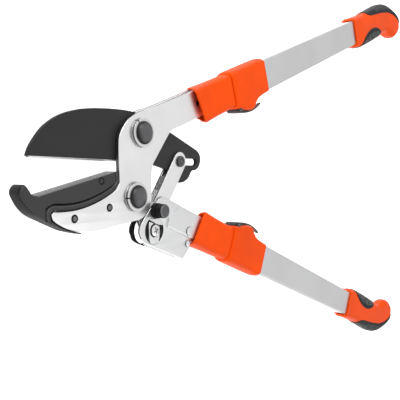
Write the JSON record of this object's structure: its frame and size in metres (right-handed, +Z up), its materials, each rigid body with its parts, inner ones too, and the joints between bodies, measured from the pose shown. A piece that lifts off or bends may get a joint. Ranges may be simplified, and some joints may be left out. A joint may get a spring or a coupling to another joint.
{
  "type": "telescopic ratchet lopper",
  "caption": "Anvil lopper: pivoting blade, hooked anvil, ratchet link, telescopic arms with clamp collars and hooked grips.",
  "frame": {"origin": "middle of the tool's footprint, on the ground it lies on", "axes": "+X from the blade towards the grips, +Y towards the upper handle, +Z up out of the front face, which carries the black ratchet pin"},
  "size_m": [0.6804, 0.4742, 0.0265],
  "materials": {
    "plate_steel": "satin chrome plate",
    "blade_steel": "matt non-stick coating",
    "cast_black": "satin black coated casting",
    "black_oxide": "black oxide",
    "bright_steel": "bright zinc",
    "aluminium": "satin anodised",
    "orange_plastic": "semi-gloss moulded",
    "black_plastic": "matt moulded",
    "black_rubber": "ribbed soft grip"
  },
  "bodies": {
    "head": {"head_plate_front": "plate_steel", "head_plate_rear": "plate_steel", "anvil": "cast_black", "anvil_rivets": "black_oxide", "blade_bolt": "black_oxide", "handle_bolt": "black_oxide", "split_washers": "bright_steel", "rear_nuts": "bright_steel", "upper_joiner": "aluminium", "upper_inner_tube": "aluminium", "upper_glide": "black_plastic", "upper_stop_collar": "orange_plastic"},
    "blade": {"blade": "blade_steel"},
    "lower_arm": {"pivot_plate": "bright_steel", "bracket_front": "bright_steel", "bracket_rear": "bright_steel", "spring_cover": "black_rubber", "spring_tab": "bright_steel", "tab_screw": "bright_steel", "ratchet_pin": "black_oxide", "arm_tube": "bright_steel", "bracket_rivets": "bright_steel", "lower_joiner": "aluminium", "lower_inner_tube": "aluminium", "lower_glide": "black_plastic", "lower_stop_collar": "orange_plastic"},
    "link": {"ratchet_link": "bright_steel", "link_pin": "black_oxide"},
    "upper_slider": {"upper_outer_tube": "aluminium", "upper_clamp_collar": "orange_plastic", "upper_clamp_pad": "black_plastic", "upper_lever_pin": "bright_steel", "upper_grip_body": "orange_plastic", "upper_grip_back": "black_rubber", "upper_grip_palm": "black_rubber"},
    "upper_lever": {"upper_lever": "black_plastic"},
    "lower_slider": {"lower_outer_tube": "aluminium", "lower_clamp_collar": "orange_plastic", "lower_clamp_pad": "black_plastic", "lower_lever_pin": "bright_steel", "lower_grip_body": "orange_plastic", "lower_grip_back": "black_rubber", "lower_grip_palm": "black_rubber"},
    "lower_lever": {"lower_lever": "black_plastic"}
  },
  "joints": [
    {"name": "handle_pivot", "type": "hinge", "parent": "head", "child": "lower_arm", "pos_m": [-0.24186, -0.01892, 0.0115], "axis": [0, 0, 1], "range_deg": [-8, 30]},
    {"name": "blade_pivot", "type": "hinge", "parent": "head", "child": "blade", "pos_m": [-0.23556, 0.02678, 0.0115], "axis": [0, 0, 1], "range_deg": [-3.7, 13.6]},
    {"name": "link_pivot", "type": "hinge", "parent": "lower_arm", "child": "link", "pos_m": [-0.22066, -0.03002, 0.0115], "axis": [0, 0, 1], "range_deg": [-30.1, 8.1]},
    {"name": "upper_extension", "type": "slide", "parent": "head", "child": "upper_slider", "axis": [0.9373, 0.3486, 0], "range_m": [0, 0.25]},
    {"name": "lower_extension", "type": "slide", "parent": "lower_arm", "child": "lower_slider", "axis": [0.9336, -0.3584, 0], "range_m": [0, 0.25]},
    {"name": "upper_lever_hinge", "type": "hinge", "parent": "upper_slider", "child": "upper_lever", "pos_m": [-0.10644, 0.05444, 0.0115], "axis": [0, 0, -1], "range_deg": [0, 70]},
    {"name": "lower_lever_hinge", "type": "hinge", "parent": "lower_slider", "child": "lower_lever", "pos_m": [-0.10727, -0.05028, 0.0115], "axis": [0, 0, 1], "range_deg": [0, 70]}
  ],
  "couplings": [
    {"joint": "blade_pivot", "follows": "handle_pivot", "ratio": 0.452},
    {"joint": "link_pivot", "follows": "handle_pivot", "ratio": -1}
  ]
}
